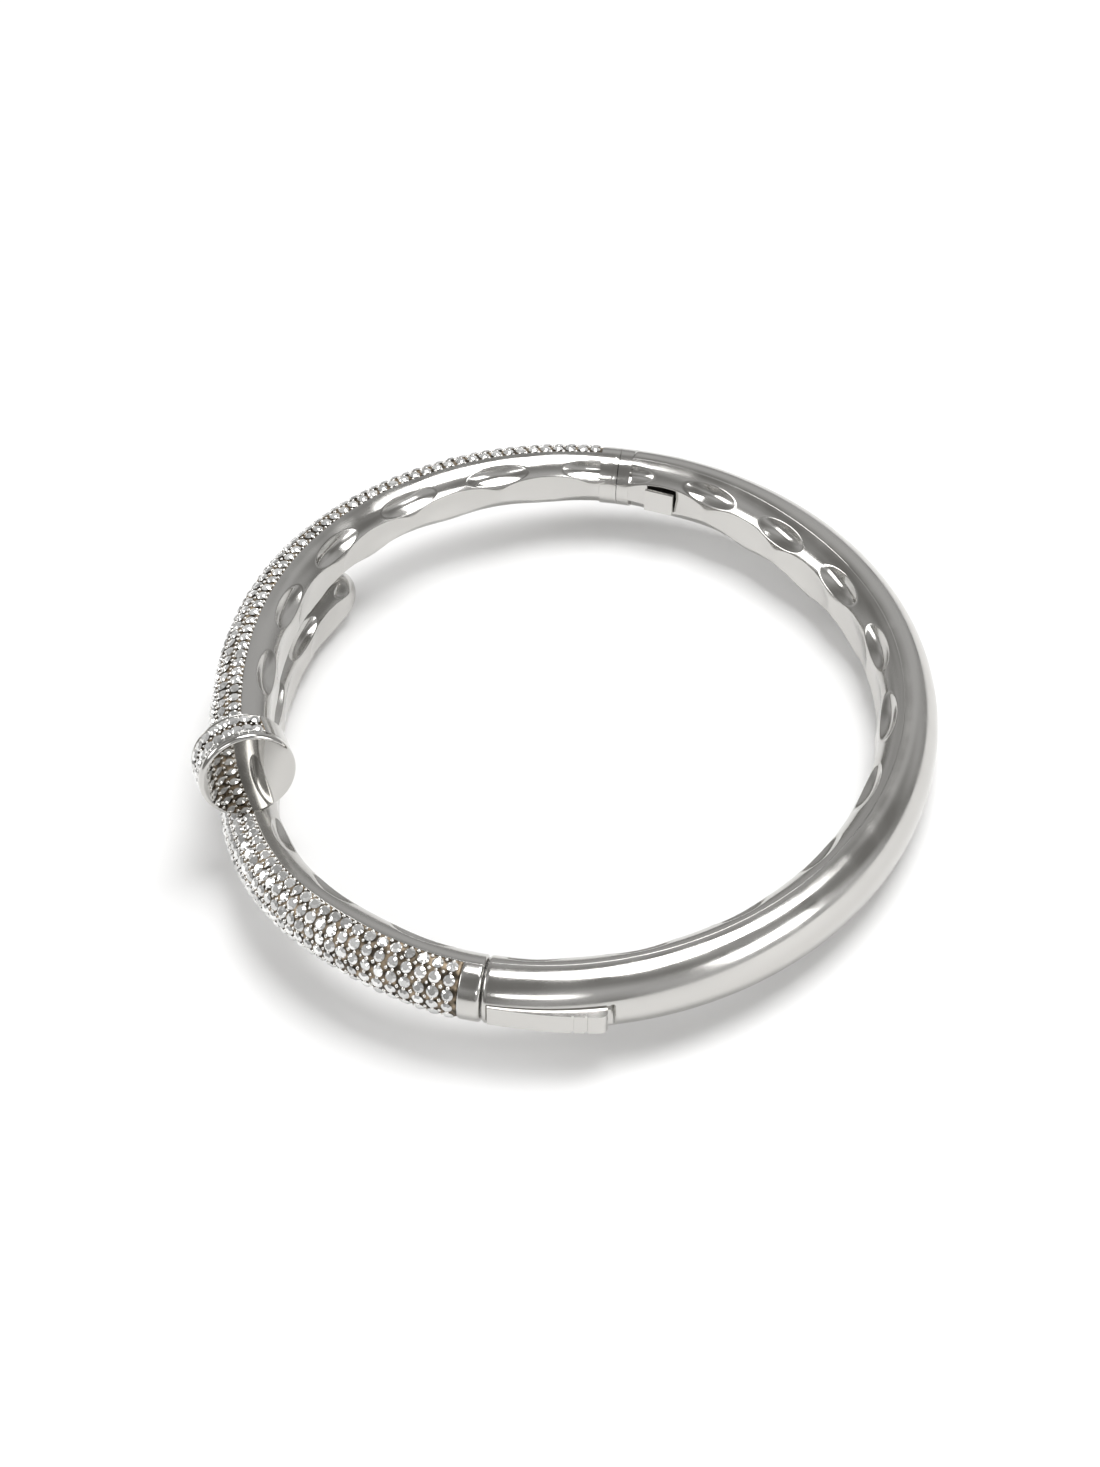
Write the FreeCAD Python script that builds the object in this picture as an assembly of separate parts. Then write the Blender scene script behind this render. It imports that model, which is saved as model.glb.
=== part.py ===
"""Hinged oval bangle whose two front arms cross: one ends in a disc set with
stones, the other passes below it and ends in a rounded tip. A lever clasp.

Millimetres, +Z up. The origin is the centre of the wrist opening at the middle
of the plain back's height. The hinge is at +Y, the clasp at -Y, the crossing at
-X and the plain polished back at +X.

Angles: phi goes round the oval, 0 at +X and 90 at the hinge. theta goes round
the band's own section, 0 outermost, 90 on the top crest, 180 against the wrist.
"""

import FreeCAD
import Part
import math
import os

# ---- oval centreline ---------------------------------------------------------
SEMI_X = 28.5            # centreline half width, front to back
SEMI_Y = 30.7            # centreline half length, clasp to hinge
FRONT_FLAT = 2.7         # the front is flatter than an oval by this much
FLAT_PHI = 194.0         # where it is flattest
FLAT_SPREAD = 41.5
SEAM_BLEND = 14.0        # the flattening dies out this many degrees before a seam

# ---- section -----------------------------------------------------------------
BAND_T = 2.52            # half thickness of the section, at the seams
BAND_H = 2.56            # half height of the section, at the seams
BACK_EXTRA_H = 0.64      # more half height at the back centre
BACK_EXTRA_T = 0.42      # more half thickness towards the wrist, beside the hinge
BACK_EXTRA_PHI = 50.0
BACK_EXTRA_SPREAD = 22.0
HEAD_ARM_T = 2.66
HEAD_ARM_H = 2.60
TIP_ARM_T = 2.44
TIP_ARM_H = 2.46

# ---- the crossing ------------------------------------------------------------
HEAD_RISE = 2.20         # how far the head arm climbs by RISE_END
RISE_START = 120.0
RISE_END = 207.0
TIP_DROP = 5.05          # how far the tip arm dips by DROP_END
DROP_START = 252.5
DROP_END = 190.5
TIP_END = 144.0          # where the rounded tip ends
TIP_ROUND = 6.5          # degrees over which it rounds off
ARM_SPLIT = 200.0        # the set part of the tip arm ends here

# ---- walls -------------------------------------------------------------------
BED_SINK = 0.12          # bed surface below the polished shoulder
BED_EDGE = 91.0          # theta where the bed meets the inner wall
BACK_EDGE = 100.0        # theta where the back's two walls meet
SHELL_WALL = 0.80        # outer shell and stone bed
INNER_WALL = 0.50        # wall against the wrist
SEAM_GAP = 0.04          # each half stops this far from the seam plane
JOINT_GAP = 0.02         # between walls that are soldered together
FRONT_CAP = 1.70
BACK_CAP = 1.20

# ---- stones ------------------------------------------------------------------
STONE_R = 0.50
STONE_CROWN = 0.16
STONE_PAVILION = 0.40
STONE_PITCH = 1.12
ROW_THETA = 26.0         # angle between neighbouring rows
ROWS = 7

# ---- head disc ---------------------------------------------------------------
HEAD_PHI = 211.4         # where its polished face stands
HEAD_LEAN = 6.75         # its face looks up by this angle
HEAD_R = 3.92
HEAD_LONG = 3.20
HEAD_BORE = 2.95
HEAD_PLATE = 0.70
HEAD_END = 208.5         # the head arm ends here, inside the head band

# ---- hinge -------------------------------------------------------------------
HINGE_Y = SEMI_Y + BAND_T - 1.20
HINGE_RELIEF = 21.0      # each outer corner is cut back by this angle
KNUCKLE_R = 0.80
KNUCKLE_SPLIT = 0.50
KNUCKLE_END = 1.50
PIN_R = 0.35
PIN_CLEAR = 0.03

# ---- clasp -------------------------------------------------------------------
TONGUE_LONG = 2.70
TONGUE_ROOT = 1.20
TONGUE_Z = 0.90
TONGUE_OUT = -SEMI_Y - 0.90
TONGUE_IN = -SEMI_Y + 0.40
TONGUE_GAP = 0.25
LEVER_START = 0.50       # along the band from the seam
LEVER_END = 8.60
LEVER_Z = 0.92
LEVER_DEEP = 0.95
LEVER_THUMB = 0.85       # how far the thumb end stands proud
LEVER_NOSE = 0.60        # radius of the rounded thumb end
LEVER_GAP = 0.08
LEVER_PIVOT = 3.40
LEVER_PIVOT_DEEP = 0.75
LEVER_PIN_R = 0.25


def vec(x, y, z):
    return FreeCAD.Vector(x, y, z)


def ease(x):
    """Smooth step from 0 to 1."""
    x = min(max(x, 0.0), 1.0)
    return x * x * (3.0 - 2.0 * x)


def bump(x, middle, spread):
    return math.exp(-((x - middle) / spread) ** 2)


def oval(phi):
    """Centreline of the plan, flattened at the front."""
    a = math.radians(phi)
    n = plan_normal(phi)
    fade = ease((270.0 - phi) / SEAM_BLEND) * ease((phi - 90.0) / SEAM_BLEND)
    flat = -FRONT_FLAT * bump(phi, FLAT_PHI, FLAT_SPREAD) * fade
    return vec(SEMI_X * math.cos(a), SEMI_Y * math.sin(a), 0.0) + n * flat


def plan_normal(phi):
    a = math.radians(phi)
    n = vec(math.cos(a) / SEMI_X, math.sin(a) / SEMI_Y, 0.0)
    return n.normalize()


class Back:
    """The plain back half, phi from -90 to 90."""

    def centre(self, phi):
        extra = BACK_EXTRA_T * bump(phi, BACK_EXTRA_PHI, BACK_EXTRA_SPREAD)
        return oval(phi) - plan_normal(phi) * extra

    def half_t(self, phi):
        return BAND_T + BACK_EXTRA_T * bump(phi, BACK_EXTRA_PHI, BACK_EXTRA_SPREAD)

    def half_h(self, phi):
        return BAND_H + BACK_EXTRA_H * max(0.0, math.cos(math.radians(phi)))


class HeadArm:
    """From the hinge to the head, climbing as it goes."""

    def centre(self, phi):
        climb = max(0.0, (phi - RISE_START) / (RISE_END - RISE_START))
        return oval(phi) + vec(0.0, 0.0, HEAD_RISE * climb ** 2)

    def half_t(self, phi):
        return BAND_T + (HEAD_ARM_T - BAND_T) * ease((phi - 90.0) / 30.0)

    def half_h(self, phi):
        return BAND_H + (HEAD_ARM_H - BAND_H) * ease((phi - 90.0) / 30.0)


class TipArm:
    """From the clasp to the rounded tip, dipping below the head."""

    def centre(self, phi):
        dip = ease((DROP_START - phi) / (DROP_START - DROP_END))
        return oval(phi) - vec(0.0, 0.0, TIP_DROP * dip)

    def rounding(self, phi):
        left = min(max((phi - TIP_END) / TIP_ROUND, 0.0), 1.0)
        return math.sqrt(1.0 - (1.0 - left) ** 2)

    def half_t(self, phi):
        body = BAND_T + (TIP_ARM_T - BAND_T) * ease((265.0 - phi) / 25.0)
        return body * self.rounding(phi)

    def half_h(self, phi):
        body = BAND_H + (TIP_ARM_H - BAND_H) * ease((265.0 - phi) / 25.0)
        return body * self.rounding(phi)


BACK = Back()
HEAD_ARM = HeadArm()
TIP_ARM = TipArm()


def surface(arm, phi, theta, sink=0.0):
    """Point on an arm, sunk by a depth below its polished surface."""
    b = math.radians(theta)
    out = plan_normal(phi) * ((arm.half_t(phi) - sink) * math.cos(b))
    up = vec(0.0, 0.0, (arm.half_h(phi) - sink) * math.sin(b))
    return arm.centre(phi) + out + up


def normal(arm, phi, theta):
    """Outward normal of the section's ellipse."""
    b = math.radians(theta)
    n = plan_normal(phi) * (math.cos(b) / arm.half_t(phi))
    n = n + vec(0.0, 0.0, math.sin(b) / arm.half_h(phi))
    return n.normalize()


def phi_after(start, length):
    """Angle reached by going a length along the plan from start."""
    step = 0.02 if length > 0 else -0.02
    phi = start
    gone = 0.0
    while gone < abs(length):
        gone += (oval(phi + step) - oval(phi)).Length
        phi += step
    return phi


def stations(phi_a, phi_b, count):
    return [phi_a + (phi_b - phi_a) * i / (count - 1) for i in range(count)]


def curve(points, closed=False):
    spline = Part.BSplineCurve()
    spline.interpolate(points, PeriodicFlag=closed)
    return spline.toShape()


def c_wire(arm, phi, theta_a, theta_b, sink, wall):
    """Closed outline of a curved wall's section between two thetas."""
    thetas = stations(theta_a, theta_b, 15)
    outer = [surface(arm, phi, th, sink) for th in thetas]
    inner = [surface(arm, phi, th, sink + wall) for th in reversed(thetas)]
    edges = [
        curve(outer),
        Part.makeLine(outer[-1], inner[0]),
        curve(inner),
        Part.makeLine(inner[-1], outer[0]),
    ]
    return Part.Wire(edges)


def curved_wall(arm, phis, theta_a, theta_b, sink, wall):
    wires = [c_wire(arm, p, theta_a, theta_b, sink, wall) for p in phis]
    return Part.makeLoft(wires, True, False)


def ring_wire(arm, phi):
    ring = [surface(arm, phi, 15.0 * i) for i in range(24)]
    return Part.Wire([curve(ring, closed=True)])


def solid_length(arm, phi_a, phi_b, count=4):
    """A full-section length of band, used for the end caps."""
    wires = [ring_wire(arm, phi) for phi in stations(phi_a, phi_b, count)]
    return Part.makeLoft(wires, True, False)


def block(x0, x1, y0, y1, z0, z1):
    return Part.makeBox(x1 - x0, y1 - y0, z1 - z0, vec(x0, y0, z0))


def rod(radius, x, y, z0, z1):
    return Part.makeCylinder(radius, z1 - z0, vec(x, y, z0), vec(0, 0, 1))


# ---- hinge -------------------------------------------------------------------
def hinge_cutter():
    """Room for the knuckles and for the outer corners as the hinge opens."""
    far = 2.6
    side = far * math.tan(math.radians(HINGE_RELIEF))
    corners = [(0.0, 0.0), (side, far), (-side, far), (0.0, 0.0)]
    outline = Part.makePolygon([vec(x, HINGE_Y + y, -4.0) for x, y in corners])
    wedge = Part.Face(outline).extrude(vec(0, 0, 8.0))
    barrel = rod(KNUCKLE_R + 0.10, 0.0, HINGE_Y, -KNUCKLE_END - 0.06, KNUCKLE_END + 0.06)
    return wedge.fuse(barrel)


def hinge_leaf_front():
    leaf = rod(KNUCKLE_R, 0.0, HINGE_Y, -KNUCKLE_SPLIT, KNUCKLE_SPLIT)
    tab = block(-1.60, 0.0, HINGE_Y - 0.80, HINGE_Y + 0.10, -KNUCKLE_SPLIT, KNUCKLE_SPLIT)
    bore = rod(PIN_R + PIN_CLEAR, 0.0, HINGE_Y, -2.0, 2.0)
    return leaf.fuse(tab).cut(bore).removeSplitter()


def hinge_leaf_back():
    low = KNUCKLE_SPLIT + 0.04
    leaf = rod(KNUCKLE_R, 0.0, HINGE_Y, low, KNUCKLE_END)
    leaf = leaf.fuse(rod(KNUCKLE_R, 0.0, HINGE_Y, -KNUCKLE_END, -low))
    tab = block(0.0, 1.60, HINGE_Y - 0.80, HINGE_Y + 0.10, -1.0, 1.0)
    room = rod(KNUCKLE_R + 0.08, 0.0, HINGE_Y, -low, low)
    room = room.fuse(block(-0.1, 0.88, HINGE_Y - 1.0, HINGE_Y + 0.5, -low, low))
    bore = rod(PIN_R + PIN_CLEAR, 0.0, HINGE_Y, -2.0, 2.0)
    return leaf.fuse(tab.cut(room)).cut(bore).removeSplitter()


def hinge_pin():
    return rod(PIN_R, 0.0, HINGE_Y, -KNUCKLE_END, KNUCKLE_END)


# ---- clasp -------------------------------------------------------------------
def lever_bar(line, half_z, deep):
    """A bar along the band's outermost line, through (along, proud) pairs."""
    wires = []
    for along, proud in line:
        phi = phi_after(-90.0, along)
        n = plan_normal(phi)
        t = BACK.half_t(phi)
        low = BACK.centre(phi) + n * (t - deep)
        top = BACK.centre(phi) + n * (t + proud)
        z = vec(0.0, 0.0, half_z)
        wires.append(Part.makePolygon([low - z, top - z, top + z, low + z, low - z]))
    return Part.makeLoft(wires, True, True)


def lever_box(start, end, half_z, deep, proud):
    return lever_bar([(along, proud) for along in stations(start, end, 9)], half_z, deep)


def lever_proud(along):
    """The lever is straighter than the band, so its outer face rises along it,
    and then rounds off at the thumb end."""
    rise = 0.05 + (LEVER_THUMB - 0.05) * (along / LEVER_END) ** 1.5
    past = max(0.0, along - LEVER_END + LEVER_NOSE) / LEVER_NOSE
    return rise - LEVER_NOSE * (1.0 - math.sqrt(max(0.0, 1.0 - past ** 2)))


def lever_point(along, deep):
    phi = phi_after(-90.0, along)
    return BACK.centre(phi) + plan_normal(phi) * (BACK.half_t(phi) - deep)


def clasp_lever():
    alongs = stations(LEVER_START, LEVER_END - LEVER_NOSE, 9)
    alongs += [LEVER_END - LEVER_NOSE * left for left in (0.75, 0.5, 0.3, 0.15, 0.05, 0.0)]
    lever = lever_bar([(a, lever_proud(a)) for a in alongs], LEVER_Z, LEVER_DEEP)
    pivot = lever_point(LEVER_PIVOT, LEVER_PIVOT_DEEP)
    boss = rod(0.50, pivot.x, pivot.y, -LEVER_Z, LEVER_Z)
    hook_at = lever_point(1.45, LEVER_DEEP)
    hook = block(hook_at.x - 0.35, hook_at.x + 0.35, hook_at.y - 0.2, TONGUE_OUT - 0.08, -0.7, 0.7)
    bore = rod(LEVER_PIN_R + 0.03, pivot.x, pivot.y, -2.0, 2.0)
    groove_a = lever_box(6.15, 6.33, 1.2, -0.40, 1.2)
    groove_b = lever_box(7.05, 7.23, 1.2, -0.50, 1.2)
    return lever.fuse([boss, hook]).cut([bore, groove_a, groove_b]).removeSplitter()


def lever_slot():
    """Room for the lever at rest and while the thumb end is pressed in."""
    end = LEVER_END + 0.75
    return lever_box(LEVER_START - 0.25, end, LEVER_Z + LEVER_GAP, 1.9, 1.5)


def lever_pin():
    pivot = lever_point(LEVER_PIVOT, LEVER_PIVOT_DEEP)
    return rod(LEVER_PIN_R, pivot.x, pivot.y, -1.40, 1.40)


def lever_pin_holes():
    pivot = lever_point(LEVER_PIVOT, LEVER_PIVOT_DEEP)
    return rod(LEVER_PIN_R + 0.01, pivot.x, pivot.y, -1.42, 1.42)


def lever_spring():
    """Leaf spring from the catch box's floor to the underside of the thumb end."""
    line = [(3.9, -0.58), (5.2, -0.54), (6.1, 0.05), (6.9, 0.42)]
    top = [vec(x, -SEMI_Y - y - 0.30, -0.60) for x, y in line]
    low = [vec(x, -SEMI_Y - y - 0.18, -0.60) for x, y in reversed(line)]
    outline = Part.makePolygon(top + low + [top[0]])
    return Part.Face(outline).extrude(vec(0, 0, 1.20))


def catch_box():
    y = -SEMI_Y
    outer = block(1.24, 5.40, y - 0.42, y + 0.95, -1.35, 1.35)
    room = block(1.0, 6.0, y - 2.0, y + 0.68, -1.15, 1.15)
    return outer.cut(room)


def tongue_slot():
    g = TONGUE_GAP
    return block(-0.5, 3.4, TONGUE_OUT - g, TONGUE_IN + g, -TONGUE_Z - 0.15, TONGUE_Z + 0.15)


def tongue():
    bar = block(-TONGUE_ROOT, TONGUE_LONG, TONGUE_OUT, TONGUE_IN, -TONGUE_Z, TONGUE_Z)
    notch = block(0.95, 2.05, TONGUE_OUT - 1.0, TONGUE_OUT + 0.40, -2.0, 2.0)
    return bar.cut(notch)


# ---- stones ------------------------------------------------------------------
def stone(radius=STONE_R):
    """One round stone, table up: table, crown, thin girdle and pavilion."""
    k = radius / STONE_R
    profile = [
        (0.0, STONE_CROWN), (0.58 * radius, STONE_CROWN), (radius, 0.02),
        (radius, -0.02), (0.0, -STONE_PAVILION * k), (0.0, STONE_CROWN),
    ]
    outline = Part.makePolygon([vec(x, 0.0, z) for x, z in profile])
    return Part.Face(outline).revolve(vec(0, 0, 0), vec(0, 0, 1), 360)


def set_stone(master, point, direction):
    turn = FreeCAD.Rotation(vec(0, 0, 1), direction)
    one = master.copy()
    one.Placement = FreeCAD.Placement(point, turn)
    return one


def row_angles(arm, theta, phi_a, phi_b):
    """Evenly spaced phi values, one stone pitch apart along the row."""
    fine = stations(phi_a, phi_b, 400)
    path = [0.0]
    for p, q in zip(fine, fine[1:]):
        path.append(path[-1] + (surface(arm, q, theta) - surface(arm, p, theta)).Length)
    count = int(path[-1] / STONE_PITCH)
    wanted = [path[-1] * (i + 0.5) / count for i in range(count)]
    angles = []
    for w in wanted:
        i = next(k for k in range(399) if path[k + 1] >= w)
        f = (w - path[i]) / (path[i + 1] - path[i])
        angles.append(fine[i] + f * (fine[i + 1] - fine[i]))
    return angles


def under_head(point):
    """True where the head leaves no room for a stone."""
    at, axis, side, up = head_frame()
    away = point - at
    along = away.dot(axis)
    radial = (away - axis * along).Length
    return radial < HEAD_R + 0.30 and -HEAD_LONG - 0.55 < along < 0.55


def stone_row(arm, index, phi_a, phi_b):
    theta = (index - (ROWS - 1) / 2.0) * ROW_THETA
    master = stone()
    stones = []
    for phi in row_angles(arm, theta, phi_a, phi_b):
        point = surface(arm, phi, theta, BED_SINK)
        if arm is TIP_ARM and under_head(point):
            continue
        stones.append(set_stone(master, point, normal(arm, phi, theta)))
    return Part.makeCompound(stones)


# ---- head --------------------------------------------------------------------
def head_frame():
    """Centre of the polished face, its outward axis, and its sideways and up."""
    at = HEAD_ARM.centre(HEAD_PHI)
    side = plan_normal(HEAD_PHI)
    along = vec(0, 0, 1).cross(side)
    lean = math.radians(HEAD_LEAN)
    axis = along * math.cos(lean) + vec(0.0, 0.0, math.sin(lean))
    return at, axis, side, axis.cross(side) * -1.0


def head_cylinder(radius, start, length):
    at, axis, side, up = head_frame()
    return Part.makeCylinder(radius, length, at + axis * start, axis)


def head_band():
    band = head_cylinder(HEAD_R, -HEAD_LONG, HEAD_LONG - HEAD_PLATE)
    room = head_cylinder(HEAD_BORE, -HEAD_LONG - 0.5, HEAD_LONG + 0.5)
    return band.cut(room)


def head_face():
    return head_cylinder(HEAD_R, -HEAD_PLATE + 0.01, HEAD_PLATE - 0.01)


def head_stones():
    at, axis, side, up = head_frame()
    master = stone()
    stones = []
    for back in (1.28, 2.50):
        for i in range(14):
            a = math.radians(-58.0 + 13.2 * i)
            n = side * math.cos(a) + up * math.sin(a)
            point = at - axis * back + n * (HEAD_R - 0.06)
            stones.append(set_stone(master, point, n))
    return Part.makeCompound(stones)


def crossing_tip():
    phis = stations(ARM_SPLIT - 0.05, TIP_END + TIP_ROUND, 13)
    for left in (0.75, 0.5, 0.3, 0.15, 0.05, 0.006):
        phis.append(TIP_END + TIP_ROUND * left)
    return Part.makeLoft([ring_wire(TIP_ARM, phi) for phi in phis], True, False)


def hallmark_plate():
    phi = 81.0
    n = plan_normal(phi)
    at = surface(BACK, phi, 180.0) - n * 0.10
    plate = Part.makeBox(0.30, 2.60, 2.20, vec(-0.15, -1.30, -1.10))
    plate.Placement = FreeCAD.Placement(at, FreeCAD.Rotation(vec(1, 0, 0), n))
    return plate


# ---- walls and caps ----------------------------------------------------------
def arm_walls(arm, phi_a, phi_b, count):
    """The stone bed round the outside and the wall against the wrist."""
    gap = math.degrees(JOINT_GAP / BAND_T)
    phis = stations(phi_a, phi_b, count)
    bed = curved_wall(arm, phis, -BED_EDGE, BED_EDGE, BED_SINK, SHELL_WALL)
    low = BED_EDGE + gap
    wall = curved_wall(arm, phis, low, 360.0 - low, 0.0, INNER_WALL)
    return bed, wall


def front_parts():
    seam = math.degrees(SEAM_GAP / SEMI_X)
    phi_gap = math.degrees(JOINT_GAP / SEMI_X)
    hinge_end = phi_after(90.0, FRONT_CAP)
    clasp_end = phi_after(270.0, -FRONT_CAP)
    head_bed, head_wall = arm_walls(HEAD_ARM, hinge_end + phi_gap, HEAD_END, 25)
    tip_bed, tip_wall = arm_walls(TIP_ARM, ARM_SPLIT, clasp_end - phi_gap, 17)
    seat = head_cylinder(HEAD_R + JOINT_GAP, -HEAD_LONG - JOINT_GAP, HEAD_LONG + 0.04)
    hinge_cap = solid_length(HEAD_ARM, 90.0 + seam, hinge_end).cut(hinge_cutter())
    room = block(-1.62, 1.0, HINGE_Y - 0.82, HINGE_Y + 0.12, -0.52, 0.52)
    clasp_cap = solid_length(TIP_ARM, clasp_end, 270.0 - seam)
    root = block(-TONGUE_ROOT, 1.0, TONGUE_OUT, TONGUE_IN, -TONGUE_Z, TONGUE_Z)
    parts = {
        "head_arm_bed": head_bed,
        "head_arm_inner_wall": head_wall,
        "tip_arm_bed": tip_bed.cut(seat),
        "tip_arm_inner_wall": tip_wall.cut(seat),
        "crossing_tip": crossing_tip(),
        "head_band": head_band(),
        "head_face": head_face(),
        "head_stones": head_stones(),
        "front_hinge_end_cap": hinge_cap.cut(room),
        "front_clasp_end_cap": clasp_cap.cut(root),
        "tongue": tongue(),
        "hinge_leaf_front": hinge_leaf_front(),
    }
    for i in range(ROWS):
        head_row = stone_row(HEAD_ARM, i, phi_after(90.0, FRONT_CAP + 0.1), HEAD_PHI - 7.2)
        tip_row = stone_row(TIP_ARM, i, ARM_SPLIT + 0.6, phi_after(270.0, -FRONT_CAP - 0.1))
        parts["head_arm_row_%d" % (i + 1)] = head_row
        parts["tip_arm_row_%d" % (i + 1)] = tip_row
    return parts


def back_parts():
    seam = math.degrees(SEAM_GAP / SEMI_X)
    phi_gap = math.degrees(JOINT_GAP / SEMI_X)
    hinge_end = phi_after(90.0, -BACK_CAP)
    clasp_end = phi_after(-90.0, BACK_CAP)
    phis = stations(clasp_end + phi_gap, hinge_end - phi_gap, 25)
    low = BACK_EDGE + math.degrees(JOINT_GAP / BAND_T)
    shell = curved_wall(BACK, phis, -BACK_EDGE, BACK_EDGE, 0.0, SHELL_WALL)
    wall = curved_wall(BACK, phis, low, 360.0 - low, 0.0, INNER_WALL)
    hinge_cap = solid_length(BACK, hinge_end, 90.0 - seam).cut(hinge_cutter())
    room = block(-1.0, 1.62, HINGE_Y - 0.82, HINGE_Y + 0.12, -1.02, 1.02)
    clasp_cap = solid_length(BACK, -90.0 + seam, clasp_end)
    return {
        "back_outer_shell": shell.cut([lever_slot(), lever_pin_holes()]),
        "back_inner_wall": wall,
        "back_hinge_end_cap": hinge_cap.cut(room),
        "back_clasp_end_cap": clasp_cap.cut([lever_slot(), tongue_slot()]),
        "hinge_leaf_back": hinge_leaf_back(),
        "hinge_pin": hinge_pin(),
        "catch_box": catch_box(),
        "lever_pin": lever_pin(),
        "lever_spring": lever_spring(),
        "hallmark_plate": hallmark_plate(),
        "clasp_lever": clasp_lever(),
    }


def main():
    os.makedirs("parts", exist_ok=True)
    parts = front_parts()
    parts.update(back_parts())
    for node, shape in parts.items():
        shape.exportStep("parts/%s.step" % node)
        print(node, len(shape.Solids), round(shape.Volume, 3), shape.isValid())


main()
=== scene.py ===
"""Look of the crossing-front bangle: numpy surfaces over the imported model.

Shapes are worked out in millimetres and turned into metres in add_mesh.
Angles: phi goes round the oval, 0 at +X and 90 at the hinge. theta goes round
the band's section, 0 outermost, 90 on the top crest, 180 against the wrist.
"""

import math

import bpy
import numpy as np
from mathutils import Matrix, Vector


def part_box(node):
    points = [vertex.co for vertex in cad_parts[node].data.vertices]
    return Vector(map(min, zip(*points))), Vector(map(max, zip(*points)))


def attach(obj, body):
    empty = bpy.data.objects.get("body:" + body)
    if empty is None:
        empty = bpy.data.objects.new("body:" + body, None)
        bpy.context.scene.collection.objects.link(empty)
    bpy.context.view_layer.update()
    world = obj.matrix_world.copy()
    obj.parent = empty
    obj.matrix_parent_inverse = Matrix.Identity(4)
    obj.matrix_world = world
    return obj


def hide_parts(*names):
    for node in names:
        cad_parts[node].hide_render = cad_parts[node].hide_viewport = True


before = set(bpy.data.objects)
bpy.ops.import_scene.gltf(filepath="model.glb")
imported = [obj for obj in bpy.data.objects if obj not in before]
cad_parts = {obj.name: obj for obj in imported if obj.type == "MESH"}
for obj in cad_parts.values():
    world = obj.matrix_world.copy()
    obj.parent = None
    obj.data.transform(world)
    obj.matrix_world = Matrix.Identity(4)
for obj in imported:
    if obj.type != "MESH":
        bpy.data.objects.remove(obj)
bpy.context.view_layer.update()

bl_info = {
    "name": "Crossing Bangle",
    "version": (1, 0, 0),
    "blender": (4, 5, 0),
    "location": "3D View > Sidebar > Bangle",
    "description": "Builds the detailed look of a hinged bangle with crossing arms",
    "category": "Object",
}

MM = 0.001

# ---- oval and section, millimetres ---------------------------------------------
SEMI_X = 28.5
SEMI_Y = 30.7
FRONT_FLAT = 2.7
FLAT_PHI = 194.0
FLAT_SPREAD = 41.5
SEAM_BLEND = 14.0
BAND_T = 2.52
BAND_H = 2.56
SEAM_GAP = 0.04
SEAM = math.degrees(SEAM_GAP / SEMI_X)
SEAM_RADIUS = 0.28
WALL_THICK = 0.70          # dimpled walls
BED_THICK = 0.85
SHELL_THICK = 1.1
SHELL_EDGE = 100.0         # theta where the back's shell meets its inner wall

# ---- how the band changes along each arm ---------------------------------------
FULL_WIDTH_OVER = 30.0     # degrees from the hinge to the head arm's full section
HEAD_MORE_T = 0.14
HEAD_MORE_H = 0.04
HEAD_RISE = 2.20           # lift gained HEAD_RISE_OVER degrees past HEAD_RISE_FROM
HEAD_RISE_FROM = 120.0
HEAD_RISE_OVER = 87.0
TIP_LESS_T = 0.08
TIP_LESS_H = 0.10
TIP_THIN_FROM = 265.0
TIP_THIN_OVER = 25.0
TIP_DROP = 5.05
TIP_DROP_FROM = 252.5
TIP_DROP_OVER = 62.0
BACK_FULL_AT = 50.0        # where the back is thickest
BACK_FULL_SPREAD = 22.0
BACK_EXTRA_T = 0.42
BACK_EXTRA_H = 0.64

# ---- dimples -------------------------------------------------------------------
# each row: middle theta, stagger in pitches, half width in theta, half length in
# pitches, share of the full depth
DIMPLE_ROWS = (
    (134.0, 0.0, 20.0, 0.33, 1.0),
    (177.0, 0.5, 29.0, 0.50, 0.9),
    (222.0, 0.0, 27.0, 0.46, 0.9),
)
DIMPLES_FROM = 102.0       # theta limits, and how softly the dimples fade there
DIMPLES_TO = 258.0
DIMPLES_FADE = 8.0
SEAM_PLAIN = 0.4           # plain length at an arm's first seam, and the fade after
SEAM_FADE = 1.2

# ---- crossing ------------------------------------------------------------------
TIP_END = 144.0
TIP_ROUND = 6.5
ARM_SPLIT = 200.0
FRONT_CAP = 1.70
CAP_BED_GAP = 0.04         # degrees between the bed and the cap
CAP_WALL_STEP = 0.04       # millimetres that the cap stays below the dimpled wall
CAP_LIP_SPREAD = 0.35      # degrees, and inset, of the rounding beside the stones
CAP_LIP_INSET = 0.16
CAP_SEAM_SPREAD = 0.6      # the same at the seam
CAP_SEAM_INSET = 0.30
BACK_CAP = 1.20

# ---- head disc -----------------------------------------------------------------
HEAD_PHI = 211.4
HEAD_LEAN = 6.75
HEAD_R = 3.92
HEAD_LONG = 3.20
HEAD_BORE = 2.95
HEAD_PLATE = 0.70
HEAD_END = 208.5
FACE_BEVEL = 0.34
CHANNEL_FROM = -66.0       # degrees round the head that the stones' channel covers
CHANNEL_TO = 121.0
CHANNEL_DEEP = 0.26
CHANNEL_STEP = 0.20        # depth at the channel's rims
HEAD_STONE_BACKS = (1.28, 2.50)
HEAD_STONE_TURNS = -58.0 + 13.2 * np.arange(14)
HEAD_STONE_SINK = 0.10
HEAD_BEAD_BACKS = (0.98, 1.89, 2.80)
HEAD_BEAD_TURNS = -64.6 + 6.6 * np.arange(29)
HEAD_BEAD_SINK = 0.14

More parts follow.
